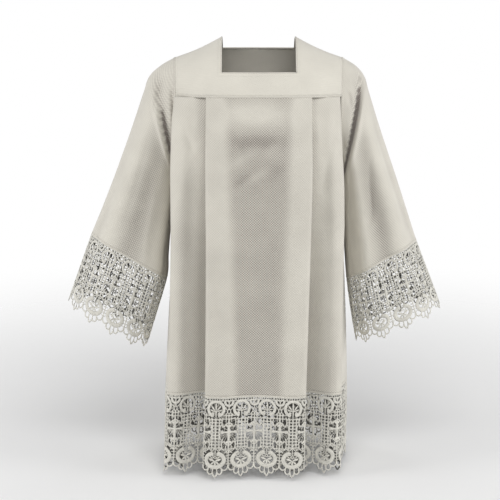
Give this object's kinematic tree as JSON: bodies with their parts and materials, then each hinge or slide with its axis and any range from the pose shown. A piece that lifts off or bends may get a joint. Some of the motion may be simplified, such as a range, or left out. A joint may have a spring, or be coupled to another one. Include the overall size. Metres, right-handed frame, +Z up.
{
  "type": "surplice",
  "caption": "Knee-length pleated surplice with a square neck, wide sleeves and deep scalloped lace at the hem and cuffs, shaped as worn.",
  "frame": {"origin": "midway between the two neck points of the shoulder seams, at their height, where the wearer's shoulders carry the yoke", "axes": "+Z up, the wearer faces -Y and the wearer's left is +X"},
  "size_m": [0.7574, 0.3158, 0.8505],
  "materials": {
    "cloth": "matt off-white cotton with a fine honeycomb weave",
    "lace": "matt cream cotton lace"
  },
  "bodies": {
    "root": {"yoke_front": "cloth", "yoke_back": "cloth", "body_front": "cloth", "body_back": "cloth", "hem_lace_front": "lace", "hem_lace_back": "lace", "sleeve_left": "cloth", "sleeve_right": "cloth", "cuff_lace_left_front": "lace", "cuff_lace_left_back": "lace", "cuff_lace_right_front": "lace", "cuff_lace_right_back": "lace"}
  },
  "joints": []
}
